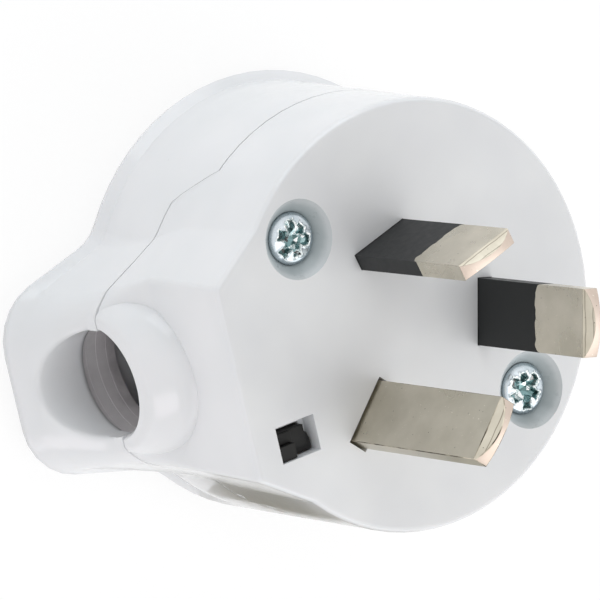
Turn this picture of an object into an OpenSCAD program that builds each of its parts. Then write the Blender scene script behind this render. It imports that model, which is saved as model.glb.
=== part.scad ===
// Rewirable side-entry plug with three flat pins, resting on its back with the pins up.
// The origin is the centre of the back, under the centre of the pin pattern.
// Depths are measured down from the pin face. The cord leaves along +U, at cable_angle.

/* [Body] */
// Depth from the pin face to the flat back
body_depth = 26.5; // [24:0.5:32]
// Radius of the round body at the pin face
face_r = 20.4; // [19.5:0.1:23]
// Direction in which the cord leaves, seen from the pin side
cable_angle = 225; // [200:5:250]
// Wall of the front housing
wall = 2.2; // [1.6:0.1:2.6]
// Thickness of the plate that carries the pins
plate_t = 2.6; // [2:0.1:3.2]
// Rounding round the edge of the pin face
edge_r = 0.6; // [0.3:0.1:1]
// Wall of the rear cover
cover_wall = 2.9; // [2.4:0.1:3.4]
// Thickness of the back of the rear cover
back_t = 2.2; // [1.6:0.1:2.6]

/* [Rear rim] */
// Height of the widest line of the rim above the back
lip_rise = 2; // [1.5:0.25:4]
// How far the body widens from the pin face to the rim, on its wide side
draft_w = 0.9; // [0.4:0.1:1.4]
// How far the rim flares past that
flare_w = 0.9; // [0.5:0.1:1.5]
// Direction of the wide side, measured from the cord
wide_angle = -120; // [-150:5:-60]
// Height over which the rim flares
flare_h = 4.6; // [3:0.2:7]
// Rounding behind the rim
lip_r = 0.8; // [0.4:0.1:1.2]
// Width of the shallow slope between the rim and the flat back
back_slope_w = 4.5; // [2:0.5:7]

/* [Cord side] */
// How far the flat end of the lobe stands out past the round body
lobe_out = 0.6; // [0.2:0.1:2]
// How far the lobe's flanks cut into the round body
lobe_in = 0.6; // [0.2:0.1:1.4]
// Slant of the lobe's flanks at the pin face
lobe_slant = 35.5; // [32:0.5:42]
// Corner radius of the lobe at the pin face
lobe_corner_r = 0.9; // [0.5:0.1:1.5]
// How far the nose stands out past the lobe at the rim
nose_len = 9.4; // [6:0.2:11]
// How far the nose's flanks cut into the round body at the rim
nose_in = 5; // [4:0.1:5.4]
// Slant of the nose's flanks at the rim
nose_slant = 15.5; // [12:0.5:20]
// Corner radius of the nose at the rim
nose_corner_r = 6; // [3.5:0.25:6.5]
// Height over which the lobe grows into the nose
nose_h = 13.5; // [11:0.5:15]
// How late the nose swells towards the rim, where 1 is a straight slope
nose_swell = 1.4; // [1.2:0.1:2]
// How much further out the nose's flank stands on the side of the clamp's leg
nose_side = 1.3; // [0.6:0.1:1.6]
// Radius of the blend between the lobe and the round body
root_r = 1.2; // [0.6:0.2:2]
// Radius of the blend between the nose and the rim
nose_root_r = 4; // [2:0.5:5]

/* [Cord entry] */
// Radius of the cord entry
entry_r = 5.3; // [4.5:0.1:5.6]
// How much wider the cord's way is behind the mouth
entry_step = 0.8; // [0.4:0.1:1]
// Length of the mouth, from the collar's end to the wider way
mouth_len = 0.6; // [0.5:0.1:1.6]
// Height of the cord entry's axis above the back
entry_rise = 9.1; // [8.6:0.1:9.6]
// How far the collar stands out from the lobe
collar_len = 2.6; // [1.8:0.1:3.5]
// Wall of the collar at its mouth
collar_lip_w = 1; // [0.7:0.1:1.4]
// Half width of the collar's root
collar_root_w = 8.2; // [7.6:0.1:8.8]
// Half height of the collar's root
collar_root_h = 10.4; // [9:0.1:11]

/* [Parting] */
// Depth of the joint between the two shells on the round body
part_depth = 10; // [9:0.25:11.5]
// Height of the joint beside the lobe, above the cord entry's axis
part_lobe_rise = 3; // [2.4:0.1:3.9]
// Height of the joint at the cord entry, above the entry's axis
part_entry_rise = 1; // [0.4:0.1:1.4]
// Distance of the joint's step from the lobe's flat end
part_step_in = 6.6; // [5.5:0.1:7]
// Length over which the joint steps down
part_step_w = 3; // [2:0.1:4]
// Gap between the two shells along their outer walls
seam_gap = 0.16; // [0.1:0.02:0.3]
// Height of the tongue that locates the cover in the housing
tongue_h = 1.5; // [1:0.1:2]
// Running gap round the tongue
tongue_gap = 0.1; // [0.05:0.05:0.15]

/* [Pins] */
// Width of a blade
blade_w = 6.35; // [6.2:0.05:6.5]
// Thickness of a blade
blade_t = 1.6; // [1.5:0.05:1.75]
// Distance of the active and neutral pins from the centre
live_radius = 7.92; // [7.5:0.02:8.4]
// Distance of the earth pin from the centre
earth_radius = 10.31; // [10:0.01:10.8]
// Slant of the active and neutral blades to the earth blade
blade_slant = 30; // [25:1:35]
// Length of the active and neutral pins past the face
live_len = 17.2; // [16.5:0.1:18]
// Length of the earth pin past the face
earth_len = 19.9; // [19.5:0.1:21]
// Height of the crown across a blade's end
crown_h = 1.15; // [0.8:0.05:1.8]
// Height of the bevels at a blade's end
bevel_h = 1.3; // [0.8:0.05:2]
// Thickness of the land left between the bevels
land_t = 0.6; // [0.4:0.1:0.9]
// Length of the insulating sleeves past the face
sleeve_len = 8.8; // [8:0.1:10]
// Thickness of the insulating sleeves
sleeve_t = 0.35; // [0.25:0.05:0.45]
// Corner radius where the bare metal starts
sleeve_corner_r = 0.8; // [0.4:0.1:1.2]
// Gap round a sleeved blade in its slot
slot_gap = 0.05; // [0.03:0.01:0.12]
// Gap round the earth blade in its slot
earth_slot_gap = 0.25; // [0.15:0.05:0.4]

/* [Terminals] */
// Width of a terminal block, along its blade
terminal_w = 7.4; // [7:0.1:7.8]
// Thickness of a terminal block
terminal_t = 6; // [5.4:0.1:6.4]
// Height of a terminal block
terminal_h = 9; // [8:0.25:9.5]
// Depth of a blade's seat in its block
blade_seat = 3; // [2:0.25:3.5]
// Radius of the wire tunnel
tunnel_r = 1.6; // [1.3:0.1:1.8]
// Height of the wire tunnel above the block's open end
tunnel_rise = 3.4; // [3:0.1:4]
// Radius of a terminal screw's shank
terminal_screw_r = 1.4; // [1.2:0.1:1.6]
// Radius of a terminal screw's head
terminal_head_r = 2.5; // [2.2:0.1:2.7]
// Height of a terminal screw's head
terminal_head_h = 1.8; // [1.4:0.1:2.2]

/* [Cover screws] */
// Distance of each cover screw's axis from the edge of the round body
screw_inset = 4.9; // [4.6:0.1:5.4]
// Radius of a cover screw's shank
screw_r = 1.5; // [1.3:0.1:1.6]
// Radius of a cover screw's head
screw_head_r = 2.85; // [2.6:0.05:3.1]
// Height of a cover screw's head
screw_head_h = 2.1; // [1.8:0.1:2.4]
// Depth of the head's top below the pin face
screw_sink = 0.9; // [0.5:0.1:1.4]
// Radius of the sinking for a screw head
sink_r = 3.75; // [3.4:0.05:4]
// Radius of a screw pillar
pillar_r = 4.6; // [4.5:0.05:4.8]
// Depth of the screw's tip
screw_tip_depth = 18.6; // [17.8:0.2:19.5]
// Outer radius of a threaded insert
insert_r = 2.3; // [2.1:0.1:2.6]
// Length of a threaded insert
insert_h = 6; // [5:0.5:7]
// Width of the slots in a screw head
recess_w = 0.8; // [0.6:0.05:1]
// Length of the cross recess
recess_len = 3.4; // [2.8:0.1:3.8]
// Depth of the cross recess
recess_depth = 1.2; // [0.9:0.1:1.4]

/* [Cord clamp] */
// Distance of the clamp from the lobe's flat end
clamp_inset = 5.8; // [5.2:0.1:6]
// Width of the clamp bar along the cord
clamp_w = 3.8; // [3.2:0.1:4]
// Thickness of the clamp bar
clamp_t = 2.2; // [1.8:0.1:2.4]
// Distance of the clamp bar's seat behind the cord's axis
clamp_drop = 3.2; // [2.8:0.1:3.4]
// Distance of the clamp's screw from the cord's axis
clamp_screw_v = 7; // [6.9:0.05:7.1]
// Distance of the clamp's leg from the cord's axis
clamp_leg_v = 6.8; // [6.7:0.05:7]
// Thickness of the clamp's leg
clamp_leg_t = 1.8; // [1.4:0.1:2]
// Radius of the hollow that grips the cord
clamp_grip_r = 3.6; // [3.2:0.1:3.9]
// Depth of the leg's tip below the pin face
clamp_tip_depth = 1; // [0.7:0.05:1.1]
// Radius of the post for the clamp's screw
post_r = 1.9; // [1.7:0.05:2]
// Radius of the clamp screw's shank
clamp_screw_r = 1.1; // [0.9:0.1:1.3]
// Radius of the clamp screw's head
clamp_head_r = 2; // [1.8:0.1:2.2]
// Height of the clamp screw's head
clamp_head_h = 1.4; // [1.2:0.1:1.6]
// Length of the clamp screw's shank
clamp_screw_len = 9; // [7:0.5:11]
// Distance of the clamp's leg and its window from the lobe's flat end
window_inset = 5.1; // [4.8:0.1:5.4]
// Size of the window over the clamp's leg, along the cord
window_w = 4.4; // [4.1:0.1:4.8]
// Size of the window across the cord
window_h = 3.5; // [3.1:0.1:3.8]

/* [Hidden] */
$fn = 48;

// Overrun of every cut past the face that it opens
cut = 1;
// Clearance round an insert and between a thread and its hole
fit_gap = 0.05;
// Clearance round a shank or a leg that passes through a hole
hole_gap = 0.15;

face_z = body_depth;
lip_depth = body_depth - lip_rise;
entry_z = entry_rise;
plate_z = face_z - plate_t;
part_z = face_z - part_depth;
lobe_end = face_r + lobe_out;
lobe_flank = face_r - lobe_in;
nose_end = lobe_end + nose_len;
nose_flank = face_r - nose_in;
collar_end = lobe_end + collar_len;
entry_start = lobe_end - wall;
mouth_u = collar_end - mouth_len;
part_step_end = lobe_end - part_step_in;
part_step_start = part_step_end - part_step_w;
screw_offset = face_r - screw_inset;
clamp_u = lobe_end - clamp_inset;
window_u = lobe_end - window_inset;
reach = nose_end + face_r;
half_part = seam_gap / 2;
seat_z = plate_z - blade_seat;
terminal_z = plate_z - terminal_h;
head_z = face_z - screw_sink - screw_head_h;
screw_tip_z = face_z - screw_tip_depth;
clamp_z = entry_z - clamp_drop;
tip_z = face_z - clamp_tip_depth;
leg_w = clamp_w - clamp_leg_t / 2;
rib_t = clamp_leg_t / 2;

// Wall of a boss past its insert, as a share of the screw's radius
boss_share = 0.85;
boss_r = insert_r + screw_r * boss_share;
cheek_v = clamp_screw_v - post_r - hole_gap;
// How far up the cord the clamp's cheeks stop, as a share of the grip's radius
cheek_share = 0.4;
// Thickness of the ledge that the clamp's hook rests on
ledge_t = 0.6;
// How far the hook stands out from its leg
hook_w = 0.65;
// Ribs round the cord's way: how many, their thickness, height and spacing
way_ribs = 3;
way_rib_t = 0.3;
way_rib_h = 0.25;
way_start = entry_start - hole_gap;
way_pitch = (mouth_u - way_start + way_rib_t) / (way_ribs + 1);
// Bevel round the collar's mouth
mouth_bevel = 0.3;
// Height of the slope round the top of a cover screw's head
head_dome_h = 0.6;
// Turn of the cross in a cover screw's head, and of the slot past it
recess_turn = 25;
recess_slot_turn = 0;

live_x = live_radius * cos(blade_slant);
live_y = live_radius * sin(blade_slant);

// How many steps the outline takes round the body, each blend and each corner
arc_steps = 27;
blend_steps = 3;
corner_steps = 5;
// How many steps the edge, the rim and the nose take along the depth
edge_steps = 3;
nose_steps = 12;
lip_steps = 3;

// The outline at one level, in [u, v]: a circle of radius r, flanks at a distance k from
// the centre and slanting by a, blended by radius b, and an end at e with corners of radius c.
// One flank stands further out by side.
function flank_normal(a) = [sin(a), cos(a)];
function flank_v(u, k, a) = (k - u * sin(a)) / cos(a);
function blend_centre(r, k, a, b) =
    (k + b) * flank_normal(a) + sqrt((r + b) * (r + b) - (k + b) * (k + b)) * [cos(a), -sin(a)];
function polar(r, a) = r * [cos(a), sin(a)];
function half_outline(r, k, a, b, c, e) =
    let (
        m = blend_centre(r, k, a, b),
        m_a = atan2(m[1], m[0]),
        corner = [e - c, flank_v(e - c, k - c, a)]
    )
    concat(
        [for (i = [0 : arc_steps - 1]) polar(r, 180 - (180 - m_a) * i / arc_steps)],
        [for (i = [0 : blend_steps]) m + polar(b, 180 + m_a + (90 - a - m_a) * i / blend_steps)],
        [for (i = [0 : corner_steps]) corner + polar(c, (90 - a) * (1 - i / corner_steps))]
    );
function outline(r, k, side, a, b, c, e) =
    let (
        wide = half_outline(r, k + side, a, b, c, e),
        slim = half_outline(r, k, a, b, c, e)
    )
    concat(wide, [for (i = [len(slim) - 1 : -1 : 1]) [slim[i][0], -slim[i][1]]]);

// A quarter-round profile that bends away by w over a height h, at a height s above its start
function bend(s, w, h) =
    let (r = (w * w + h * h) / (2 * w))
    s <= 0 ? 0 : r - sqrt(r * r - s * s);

// How far the nose has grown at a height s, from 0 to 1
function swell(s, h) = pow(max(s, 0) / h, nose_swell);

// The body's outline at a depth d, drawn in by the width i. It widens on one side only.
function level(d, i) =
    let (
        s = min(d, lip_depth),
        t = swell(s - (lip_depth - nose_h), nose_h),
        f = (draft_w * s / lip_depth + bend(s - (lip_depth - flare_h), flare_w, flare_h)) / 2,
        r = face_r + f,
        k = lobe_flank + (nose_flank - lobe_flank) * t,
        a = lobe_slant + (nose_slant - lobe_slant) * t,
        b = root_r + (nose_root_r - root_r) * t,
        c = lobe_corner_r + (nose_corner_r - lobe_corner_r) * t,
        e = lobe_end + (nose_end - lobe_end) * t
    )
    [for (p = outline(r - i, k - i, nose_side * t, a, b + i, max(c - i, lobe_corner_r / 2), e - i))
        [p[0] + f * cos(wide_angle), p[1] + f * sin(wide_angle), face_z - d]];

// Depths and insets from the back up to the pin face
back_levels = [
    [body_depth, back_slope_w],
    for (i = [0 : lip_steps])
        [lip_depth + lip_r * cos(90 * i / lip_steps), lip_r * (1 - sin(90 * i / lip_steps))]
];
side_levels = [for (i = [1 : nose_steps]) [lip_depth - nose_h * i / nose_steps, 0]];
face_levels = [
    for (i = [0 : edge_steps])
        [edge_r * (1 - sin(90 * i / edge_steps)), edge_r * (1 - cos(90 * i / edge_steps))]
];
body_levels = concat(back_levels, side_levels, face_levels);

// The collar's outline at a distance u from the centre, an oval round the cord's axis
function collar_ring(u, t) =
    let (
        w = collar_root_w + (entry_r + collar_lip_w - collar_root_w) * t,
        h = collar_root_h + (entry_r + collar_lip_w - collar_root_h) * t,
        low_h = entry_r + collar_lip_w
    )
    [for (i = [0 : collar_points - 1])
        let (c = cos(360 * i / collar_points))
        [u, w * sin(360 * i / collar_points), entry_z + (c > 0 ? h : low_h) * c]];
collar_points = 40;
collar_steps = 6;

// A closed skin over a stack of rings that have the same number of points
module loft(rings) {
    n = len(rings[0]);
    last = len(rings) - 1;
    polyhedron(
        points = [for (ring = rings) for (p = ring) p],
        faces = concat(
            [[for (j = [n - 1 : -1 : 0]) j]],
            [for (i = [0 : last - 1]) for (j = [0 : n - 1])
                [i * n + j, i * n + (j + 1) % n, (i + 1) * n + (j + 1) % n, (i + 1) * n + j]],
            [[for (j = [0 : n - 1]) last * n + j]]
        )
    );
}

// Turns a shape drawn along +U into the direction of the cord
module along_cord() {
    rotate([0, 0, cable_angle]) children();
}

// A cylinder along +U, centred on the cord's axis
module cord_cylinder(r, u, length) {
    translate([u, 0, entry_z]) rotate([0, 90, 0]) cylinder(r = r, h = length);
}

// The cord's way out: wide behind the mouth, and ribbed where the shells close on the cord
module cord_cut() {
    along_cord() {
        cord_cylinder(entry_r, entry_start - hole_gap, reach);
        cord_cylinder(entry_r + entry_step - way_rib_h, way_start, mouth_u - way_start);
        for (i = [0 : way_ribs])
            cord_cylinder(entry_r + entry_step, way_start + i * way_pitch, way_pitch - way_rib_t);
    }
}

// The outside of the closed body
module body_skin() {
    loft([for (l = body_levels) level(l[0], l[1])]);
    loft([for (i = [0 : collar_steps])
        collar_ring(
            lobe_end - edge_r + (collar_end - lobe_end + edge_r) * sin(90 * i / collar_steps),
            1 - cos(90 * i / collar_steps)
        )]);
}

// Everything on the pin side of the joint between the shells, moved down by shift
module pin_side(shift) {
    rotate([90, 0, 0])
        linear_extrude(height = 2 * reach, center = true)
            polygon([
                [-reach, face_z + cut],
                [-reach, part_z - shift],
                [part_step_start, part_z - shift],
                [part_step_end, entry_z + part_lobe_rise - shift],
                [collar_end, entry_z + part_entry_rise - shift],
                [reach, entry_z + part_entry_rise - shift],
                [reach, face_z + cut]
            ]);
}

// The hollow of a shell: round, with a way out to the cord entry
module hollow(r, low, high) {
    translate([0, 0, low])
        linear_extrude(height = high - low)
            union() {
                circle(r = r, $fn = 96);
                hollow_lobe();
            }
}

module hollow_lobe() {
    k = lobe_flank - wall;
    inner = part_step_start;
    outer = entry_start;
    polygon([
        [inner, flank_v(inner, k, lobe_slant)],
        [outer, flank_v(outer, k, lobe_slant)],
        [outer, -flank_v(outer, k, lobe_slant)],
        [inner, -flank_v(inner, k, lobe_slant)]
    ]);
}

// Places a shape at the active, neutral or earth pin, with the blade's width along X
module at_active() {
    translate([live_x, live_y, 0]) rotate([0, 0, 90 + blade_slant]) children();
}

module at_neutral() {
    translate([-live_x, live_y, 0]) rotate([0, 0, 90 - blade_slant]) children();
}

module at_earth() {
    translate([0, -earth_radius, 0]) rotate([0, 0, 90]) children();
}

module at_screws() {
    for (side = [-1, 1]) translate([side * screw_offset, 0, 0]) children();
}

// A block centred on Z, from one height to another
module block(w, t, low, high) {
    translate([-w / 2, -t / 2, low]) cube([w, t, high - low]);
}

module slot(gap) {
    block(blade_w + 2 * gap, blade_t + 2 * gap, plate_z - cut, face_z + cut);
}

// The slots, screw holes, cord entry and window of the front housing
module front_cuts() {
    at_active() slot(slot_gap);
    at_neutral() slot(slot_gap);
    at_earth() slot(earth_slot_gap);
    cord_cut();
    at_screws() {
        translate([0, 0, head_z]) cylinder(r = sink_r, h = face_z + cut - head_z);
        translate([0, 0, part_z - cut]) cylinder(r = screw_r + hole_gap, h = face_z - part_z);
    }
    along_cord() {
        translate([collar_end - mouth_bevel, 0, entry_z])
            rotate([0, 90, 0])
                cylinder(r1 = entry_r, r2 = entry_r + mouth_bevel, h = mouth_bevel);
        translate([window_u, clamp_leg_v, 0]) {
            block(window_w, window_h, plate_z + ledge_t, face_z + cut);
            block(leg_w + 2 * hole_gap, clamp_leg_t + 2 * hole_gap, plate_z - cut, face_z);
        }
        translate([clamp_u, -clamp_screw_v, clamp_z - cut])
            cylinder(r = clamp_screw_r + fit_gap, h = clamp_screw_len);
    }
}

// The post that the clamp is screwed to, and two ribs that carry the cord opposite it
module clamp_seat() {
    translate([clamp_u, -clamp_screw_v, clamp_z]) cylinder(r = post_r, h = plate_z + ledge_t - clamp_z);
    for (side = [-1, 1])
        translate([clamp_u + side * (clamp_w - rib_t) / 2, 0, 0])
            difference() {
                block(rib_t, 2 * entry_r, entry_z, plate_z + ledge_t);
                translate([-rib_t, 0, entry_z])
                    rotate([0, 90, 0])
                        cylinder(r = clamp_grip_r, h = 2 * rib_t);
            }
}

module front_housing() {
    color("gainsboro")
        difference() {
            union() {
                along_cord() {
                    difference() {
                        intersection() {
                            body_skin();
                            pin_side(-half_part);
                        }
                        hollow(face_r - wall, back_t, plate_z);
                    }
                    clamp_seat();
                }
                at_screws() translate([0, 0, part_z]) cylinder(r = pillar_r, h = plate_z + ledge_t - part_z);
            }
            front_cuts();
        }
}

// The tongue that stands up inside the housing, all round but for the cord's side
module tongue() {
    along_cord()
        difference() {
            translate([0, 0, part_z - tongue_h])
                cylinder(r = face_r - wall - tongue_gap, h = 2 * tongue_h, $fn = 96);
            translate([0, 0, part_z - tongue_h - cut])
                cylinder(r = face_r - cover_wall, h = 2 * tongue_h + 2 * cut, $fn = 96);
            translate([part_step_start - cut, -reach, 0]) cube([reach, 2 * reach, face_z]);
        }
}

module rear_cover() {
    color("whitesmoke")
        difference() {
            union() {
                along_cord()
                    difference() {
                        body_skin();
                        pin_side(half_part);
                        hollow(face_r - cover_wall, back_t, face_z);
                    }
                difference() {
                    tongue();
                    at_screws() translate([0, 0, part_z]) cylinder(r = pillar_r + tongue_gap, h = reach);
                }
                difference() {
                    at_screws() translate([0, 0, back_t / 2]) cylinder(r = boss_r, h = part_z - back_t / 2);
                    along_cord() pin_side(0);
                }
            }
            at_screws() {
                translate([0, 0, part_z - insert_h]) cylinder(r = insert_r + fit_gap, h = insert_h + cut);
                translate([0, 0, screw_tip_z - hole_gap]) cylinder(r = screw_r + hole_gap, h = part_z);
            }
            cord_cut();
        }
}

// A blade that stands up to a length past the face. Its end is crowned across the width and
// bevelled on both sides, so that the land between the bevels narrows to the middle.
module blade(length, low) {
    top = face_z + length;
    crown_r = (blade_w * blade_w / 4 + crown_h * crown_h) / (2 * crown_h);
    intersection() {
        rotate([90, 0, 90])
            linear_extrude(height = blade_w, center = true)
                polygon([
                    [-blade_t / 2, low],
                    [blade_t / 2, low],
                    [blade_t / 2, top - bevel_h],
                    [land_t / 2, top],
                    [-land_t / 2, top],
                    [-blade_t / 2, top - bevel_h]
                ]);
        union() {
            block(2 * blade_w, 2 * blade_t, low - cut, top - crown_h);
            translate([0, blade_t, top - crown_r])
                rotate([90, 0, 0])
                    cylinder(r = crown_r, h = 2 * blade_t, $fn = 96);
        }
    }
}

// The part of a sleeved blade that stays bare, with rounded corners where it starts
module bare_length() {
    start = face_z + sleeve_len;
    block(blade_w, 2 * blade_t, start + sleeve_corner_r, face_z + live_len);
    block(blade_w - 2 * sleeve_corner_r, 2 * blade_t, start, face_z + live_len);
    for (side = [-1, 1])
        translate([side * (blade_w / 2 - sleeve_corner_r), blade_t, start + sleeve_corner_r])
            rotate([90, 0, 0])
                cylinder(r = sleeve_corner_r, h = 2 * blade_t);
}

// The necked length of a sleeved blade, down to its seat in the terminal
module core(low, high) {
    block(blade_w - 2 * sleeve_t, blade_t - 2 * sleeve_t, low, high);
}

module live_pin() {
    color("darkgray")
        union() {
            intersection() {
                blade(live_len, face_z);
                bare_length();
            }
            core(seat_z, face_z + sleeve_len + sleeve_corner_r);
        }
}

module sleeve() {
    color("dimgray")
        difference() {
            block(blade_w, blade_t, plate_z, face_z + sleeve_len + sleeve_corner_r);
            core(plate_z - cut, face_z + live_len);
            bare_length();
        }
}

// A terminal block with its wire tunnel and the tapped hole of its screw
module terminal() {
    color("goldenrod")
        difference() {
            block(terminal_w, terminal_t, terminal_z, plate_z);
            children();
            translate([-terminal_w, 0, terminal_z + tunnel_rise])
                rotate([0, 90, 0])
                    cylinder(r = tunnel_r, h = 2 * terminal_w);
            translate([0, 0, terminal_z - cut])
                cylinder(r = terminal_screw_r + fit_gap, h = tunnel_rise + cut);
        }
}

module live_terminal() {
    terminal() core(seat_z, plate_z + cut);
}

module terminal_screw() {
    color("lightsteelblue")
        difference() {
            union() {
                translate([0, 0, terminal_z - terminal_head_h]) cylinder(r = terminal_head_r, h = terminal_head_h);
                translate([0, 0, terminal_z - terminal_head_h / 2])
                    cylinder(r = terminal_screw_r, h = tunnel_rise + terminal_head_h / 2);
            }
            slot_z = terminal_z - terminal_head_h / 2;
            block(2 * terminal_head_r + cut, recess_w, slot_z - terminal_head_h, slot_z);
        }
}

// A pan-head screw with a cross and a slot in its head
module cover_screw() {
    top = head_z + screw_head_h;
    color("lightsteelblue")
        difference() {
            union() {
                translate([0, 0, head_z]) cylinder(r = screw_head_r, h = screw_head_h - head_dome_h);
                translate([0, 0, top - head_dome_h])
                    cylinder(r1 = screw_head_r, r2 = screw_head_r - head_dome_h, h = head_dome_h);
                translate([0, 0, screw_tip_z]) cylinder(r = screw_r, h = head_z - screw_tip_z);
            }
            for (turn = [0, 90])
                rotate([0, 0, turn + recess_turn]) block(recess_len, recess_w, top - recess_depth, top + cut);
            rotate([0, 0, recess_turn + recess_slot_turn])
                block(2 * screw_head_r, recess_w, top - recess_w, top + cut);
        }
}

// A brass insert, threaded over its whole length
module insert() {
    color("gold")
        translate([0, 0, part_z - insert_h])
            difference() {
                cylinder(r = insert_r, h = insert_h);
                translate([0, 0, -cut]) cylinder(r = screw_r + fit_gap, h = insert_h + 2 * cut);
            }
}

// A bar across the cord, hooked into the window at one end and screwed down at the other
module cord_clamp() {
    bar_end = clamp_leg_v + clamp_leg_t / 2;
    low = clamp_z - clamp_t;
    color([0.13, 0.13, 0.13])
        along_cord()
            translate([clamp_u, 0, 0])
                difference() {
                    union() {
                        translate([-clamp_w / 2, -clamp_screw_v, low])
                            cube([clamp_w, clamp_screw_v + bar_end, clamp_t]);
                        translate([0, -clamp_screw_v, low]) cylinder(r = clamp_w / 2, h = clamp_t);
                        block(clamp_w, 2 * cheek_v, clamp_z - clamp_t / 2, entry_z - clamp_grip_r * cheek_share);
                        translate([window_u - clamp_u, clamp_leg_v, 0]) {
                            block(leg_w, clamp_leg_t, low, tip_z);
                            translate([-leg_w / 2, clamp_leg_t / 2, 0]) hook();
                        }
                    }
                    translate([-clamp_w, 0, entry_z])
                        rotate([0, 90, 0])
                            cylinder(r = clamp_grip_r, h = 2 * clamp_w);
                    translate([0, -clamp_screw_v, low - cut])
                        cylinder(r = clamp_screw_r + hole_gap, h = clamp_t + 2 * cut);
                }
}

// The barb on the leg, which rests on the ledge in the window
module hook() {
    rotate([90, 0, 90])
        linear_extrude(height = leg_w)
            polygon([
                [-clamp_leg_t / 2, plate_z + ledge_t],
                [hook_w, plate_z + ledge_t],
                [hook_w, plate_z + 2 * ledge_t],
                [0, tip_z],
                [-clamp_leg_t / 2, tip_z]
            ]);
}

module clamp_screw() {
    low = clamp_z - clamp_t;
    color("lightsteelblue")
        along_cord()
            translate([clamp_u, -clamp_screw_v, low])
                difference() {
                    union() {
                        translate([0, 0, -clamp_head_h]) cylinder(r = clamp_head_r, h = clamp_head_h);
                        cylinder(r = clamp_screw_r, h = clamp_screw_len);
                    }
                    for (turn = [0, 90])
                        rotate([0, 0, turn])
                            block(clamp_head_r, recess_w, -clamp_head_h - cut, -clamp_head_h / 2);
                }
}

front_housing();
rear_cover();
at_active() live_pin();  // active_pin
at_neutral() live_pin();  // neutral_pin
at_earth() color("darkgray") blade(earth_len, seat_z);  // earth_pin
at_active() sleeve();  // active_sleeve
at_neutral() sleeve();  // neutral_sleeve
at_active() live_terminal();  // active_terminal
at_neutral() live_terminal();  // neutral_terminal
at_earth() terminal() block(blade_w, blade_t, seat_z, plate_z + cut);  // earth_terminal
at_active() terminal_screw();  // active_terminal_screw
at_neutral() terminal_screw();  // neutral_terminal_screw
at_earth() terminal_screw();  // earth_terminal_screw
translate([-screw_offset, 0, 0]) cover_screw();  // left_cover_screw
translate([screw_offset, 0, 0]) cover_screw();  // right_cover_screw
translate([-screw_offset, 0, 0]) insert();  // left_insert
translate([screw_offset, 0, 0]) insert();  // right_insert
cord_clamp();
clamp_screw();
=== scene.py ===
"""A white three-pin plug with a side cord entry, dressed for a studio picture.

Lengths are given in millimetres, and mm() turns them into Blender's metres.
The part's own frame is used throughout: the flat back at z = 0 and the pins up.
"""

import math

import bmesh
import bpy
from mathutils import Matrix, Vector


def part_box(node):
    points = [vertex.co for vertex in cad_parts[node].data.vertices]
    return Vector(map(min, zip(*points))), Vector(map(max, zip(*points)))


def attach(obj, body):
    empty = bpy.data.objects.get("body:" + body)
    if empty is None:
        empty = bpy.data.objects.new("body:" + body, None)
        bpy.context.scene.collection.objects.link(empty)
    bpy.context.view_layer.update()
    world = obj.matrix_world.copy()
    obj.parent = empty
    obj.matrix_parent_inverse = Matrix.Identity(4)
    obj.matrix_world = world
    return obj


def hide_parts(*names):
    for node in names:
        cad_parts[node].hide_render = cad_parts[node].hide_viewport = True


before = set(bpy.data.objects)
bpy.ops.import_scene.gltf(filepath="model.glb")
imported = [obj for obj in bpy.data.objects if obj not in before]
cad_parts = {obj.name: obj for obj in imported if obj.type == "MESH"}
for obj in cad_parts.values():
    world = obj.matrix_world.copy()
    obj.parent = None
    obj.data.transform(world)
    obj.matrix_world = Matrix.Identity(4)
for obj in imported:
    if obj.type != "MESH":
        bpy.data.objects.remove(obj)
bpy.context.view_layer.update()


def mm(length):
    return length / 1000


FACE_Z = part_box("front_housing")[1].z
# How near a point has to be to a surface or a level to count as on it
NEAR = mm(0.05)
# The cord's way: its direction, the height of its axis, where it starts, its mouth, the radius of
# its wall, and the ribs round it as moulded and as worn
CORD_WAY = Vector((-1, -1, 0)).normalized()
ENTRY_Z = mm(9.1)
WAY_START = mm(12)
MOUTH_U = mm(23)
WAY_R = mm(6.1)
RIB_R = mm(5.85)
WORN_RIB_R = mm(6.07)
# The slant of the two sleeved pins, the height where their bare metal starts, and over how much
# the pin steps out there
BLADE_TURN = math.radians(30)
BARE_Z = FACE_Z + mm(8.8)
BARE_RISE = mm(0.8)
# The round sinkings of the cover screws
COVER_SCREWS = ("left_cover_screw", "right_cover_screw")
SINKING_R = mm(3.75)
SINKING_DEPTH = mm(3)


# Materials

def paint(code):
    """An sRGB hex colour as the linear RGBA that the shaders take."""
    parts = [int(code[i:i + 2], 16) / 255 for i in (1, 3, 5)]
    return [c / 12.92 if c <= 0.04045 else ((c + 0.055) / 1.055) ** 2.4 for c in parts] + [1.0]


def add(tree, kind, settings=None, stops=(), **links):
    """Adds a node with its settings, and on a colour ramp its stops, each a position with a hex
    colour or a grey level. Then fills or links its inputs by name, or by number as in0. A node
    that is given for an input stands for its first output."""
    node = tree.nodes.new(kind)
    for name, value in (settings or {}).items():
        setattr(node, name, value)
    if stops:
        elements = node.color_ramp.elements
        while len(elements) < len(stops):
            elements.new(0.5)
        for element, (position, tone) in zip(elements, stops):
            element.position = position
            element.color = paint(tone) if isinstance(tone, str) else (tone, tone, tone, 1)
    for key, value in links.items():
        number = key.removeprefix("in")
        socket = node.inputs[int(number) if number.isdigit() else key.replace("_", " ")]
        if isinstance(value, bpy.types.Node):
            value = value.outputs[0]
        if isinstance(value, bpy.types.NodeSocket):
            tree.links.new(value, socket)
        else:
            socket.default_value = value
    return node


def new_material(name):
    material = bpy.data.materials.new(name)
    material.use_nodes = True
    tree = material.node_tree
    tree.nodes.clear()
    return material, tree


def finish_material(tree, **inputs):
    shader = add(tree, "ShaderNodeBsdfPrincipled", **inputs)
    add(tree, "ShaderNodeOutputMaterial", Surface=shader)


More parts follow.
